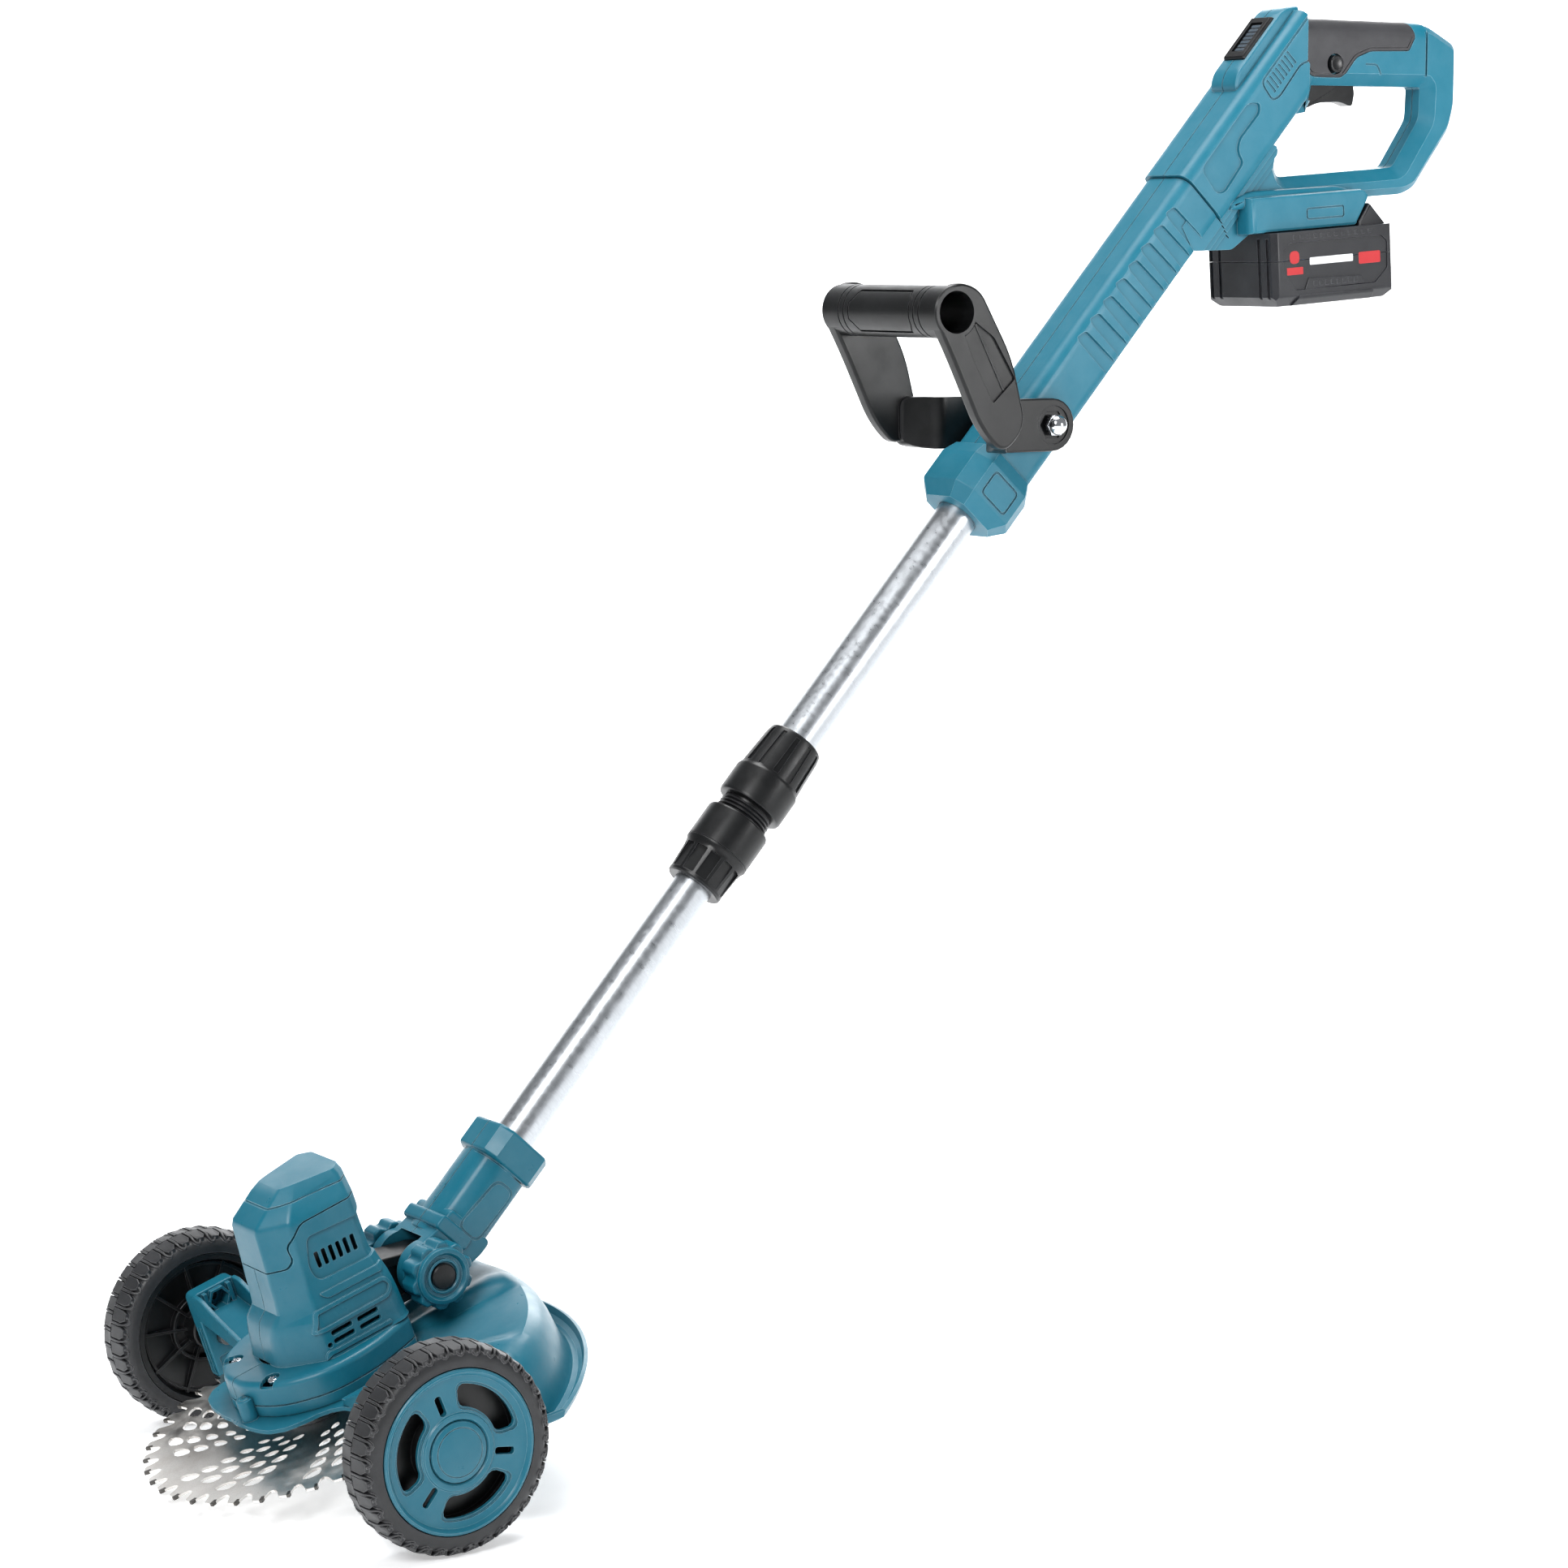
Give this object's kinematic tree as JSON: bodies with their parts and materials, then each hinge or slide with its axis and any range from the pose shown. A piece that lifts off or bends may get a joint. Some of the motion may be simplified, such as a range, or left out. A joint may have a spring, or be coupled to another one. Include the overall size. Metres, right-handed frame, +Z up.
{
  "type": "lawn edger",
  "caption": "Wheeled cordless lawn edger: toothed blade under a rear hood, upright motor, telescopic pole, front loop handle and battery grip.",
  "frame": {"origin": "middle of the footprint, on the ground under the wheels", "axes": "+X back towards the operator, +Y to the operator's right, +Z up"},
  "size_m": [1.0446, 0.3694, 0.9427],
  "materials": {
    "teal_plastic": "satin moulded, lightly textured",
    "light_teal_plastic": "satin moulded, lightly textured",
    "black_plastic": "fine moulded grain",
    "soft_grip": "fine matt grain",
    "tyre": "matt, scuffed at the lugs",
    "tube_aluminium": "satin anodised",
    "blade_steel": "ground, lightly tarnished",
    "steel": "machined",
    "chrome": "polished",
    "battery_plastic": "fine moulded grain",
    "cell_wrap": "shrink sleeve",
    "circuit_board": "solder mask",
    "display_plastic": "smoked"
  },
  "bodies": {
    "handle": {"handle_shell_left": "light_teal_plastic", "handle_shell_right": "light_teal_plastic", "front_collar": "light_teal_plastic", "grip_overmould": "soft_grip", "display_bezel": "black_plastic", "display_window": "display_plastic", "control_board": "circuit_board", "trigger_switch": "black_plastic", "battery_terminals": "circuit_board", "upper_tube": "tube_aluminium", "lock_sleeve": "black_plastic", "front_handle_bolt": "steel", "front_handle_nut": "chrome", "trigger_spring": "steel"},
    "front_handle": {"front_handle": "black_plastic"},
    "trigger": {"trigger": "black_plastic"},
    "lock_off_button": {"lock_off_button": "black_plastic"},
    "battery": {"battery_case_lower": "battery_plastic", "battery_case_upper": "battery_plastic", "battery_cells": "cell_wrap"},
    "battery_latch": {"battery_latch": "black_plastic"},
    "lock_nut_upper": {"lock_nut_upper": "black_plastic"},
    "lock_nut_lower": {"lock_nut_lower": "black_plastic"},
    "lower_pole": {"lower_tube": "tube_aluminium", "neck_shell_left": "teal_plastic", "neck_shell_right": "teal_plastic"},
    "tilt_knob_left": {"tilt_knob_left": "teal_plastic"},
    "tilt_bolt": {"tilt_bolt": "steel", "tilt_knob_right": "teal_plastic"},
    "head": {"motor_housing_left": "teal_plastic", "motor_housing_right": "teal_plastic", "motor_cap": "teal_plastic", "gear_case": "teal_plastic", "guard": "teal_plastic", "wheel_bracket_left": "teal_plastic", "wheel_bracket_right": "teal_plastic", "tilt_lug": "black_plastic", "motor": "steel", "spindle_bearing_lower": "steel", "spindle_bearing_upper": "steel", "axle_bolt_left": "steel", "axle_bolt_right": "steel"},
    "blade_spindle": {"spindle": "steel", "driven_gear": "steel", "blade_flange_upper": "steel", "blade_flange_lower": "steel", "saw_blade": "blade_steel", "blade_nut": "steel"},
    "motor_rotor": {"motor_shaft": "steel", "pinion": "steel"},
    "wheel_left": {"tyre_left": "tyre", "wheel_core_left": "black_plastic", "wheel_trim_left": "teal_plastic", "hub_cap_left": "teal_plastic"},
    "wheel_right": {"tyre_right": "tyre", "wheel_core_right": "black_plastic", "wheel_trim_right": "teal_plastic", "hub_cap_right": "teal_plastic"}
  },
  "joints": [
    {"name": "front_handle_tilt", "type": "hinge", "parent": "handle", "child": "front_handle", "pos_m": [0.13928, 0, 0.65391], "axis": [0, 1, 0], "range_deg": [-8, 50]},
    {"name": "trigger_pull", "type": "hinge", "parent": "handle", "child": "trigger", "pos_m": [0.38928, 0, 0.88891], "axis": [0, -1, 0], "range_deg": [0, 8], "stiffness_Nm_per_rad": 0.6, "springref_deg": -8.59, "deforming": ["trigger_spring"]},
    {"name": "lock_off_press", "type": "slide", "parent": "handle", "child": "lock_off_button", "axis": [0, 1, 0], "range_m": [0, 0.002], "stiffness_N_per_m": 400, "springref_m": -0.002},
    {"name": "battery_slide", "type": "slide", "parent": "handle", "child": "battery", "axis": [0.9976, 0, 0.0698], "range_m": [0, 0.07]},
    {"name": "battery_latch_press", "type": "slide", "parent": "battery", "child": "battery_latch", "axis": [0.0698, 0, -0.9976], "range_m": [0, 0.003], "stiffness_N_per_m": 500, "springref_m": -0.002},
    {"name": "lock_nut_upper_twist", "type": "hinge", "parent": "handle", "child": "lock_nut_upper", "pos_m": [-0.06926, 0, 0.42413], "axis": [0.6717, 0, 0.7408], "range_deg": [-180, 0]},
    {"name": "lock_nut_lower_twist", "type": "hinge", "parent": "handle", "child": "lock_nut_lower", "pos_m": [-0.11292, 0, 0.37598], "axis": [0.6717, 0, 0.7408], "range_deg": [0, 180]},
    {"name": "pole_telescope", "type": "slide", "parent": "handle", "child": "lower_pole", "axis": [-0.6717, 0, -0.7408], "range_m": [-0.12, 0.06]},
    {"name": "tilt_knob_left_turn", "type": "hinge", "parent": "lower_pole", "child": "tilt_knob_left", "pos_m": [-0.34372, -0.033, 0.13141], "axis": [0, 1, 0], "range_deg": [0, 270]},
    {"name": "tilt_bolt_turn", "type": "hinge", "parent": "lower_pole", "child": "tilt_bolt", "pos_m": [-0.34372, 0.033, 0.13141], "axis": [0, 1, 0], "range_deg": [-270, 0]},
    {"name": "head_tilt", "type": "hinge", "parent": "lower_pole", "child": "head", "pos_m": [-0.34372, 0, 0.13141], "axis": [0, 1, 0], "range_deg": [-15, 45]},
    {"name": "blade_spin", "type": "hinge", "parent": "head", "child": "blade_spindle", "pos_m": [-0.41522, 0, 0.04771], "axis": [-0.3261, 0, 0.9453], "continuous": true},
    {"name": "motor_spin", "type": "hinge", "parent": "head", "child": "motor_rotor", "pos_m": [-0.40983, 0, 0.11304], "axis": [-0.3261, 0, 0.9453], "continuous": true},
    {"name": "wheel_left_roll", "type": "hinge", "parent": "head", "child": "wheel_left", "pos_m": [-0.41372, -0.167, 0.06491], "axis": [0, 1, 0], "continuous": true},
    {"name": "wheel_right_roll", "type": "hinge", "parent": "head", "child": "wheel_right", "pos_m": [-0.41372, 0.167, 0.06491], "axis": [0, 1, 0], "continuous": true}
  ],
  "couplings": [
    {"joint": "motor_spin", "follows": "blade_spin", "ratio": -3}
  ]
}
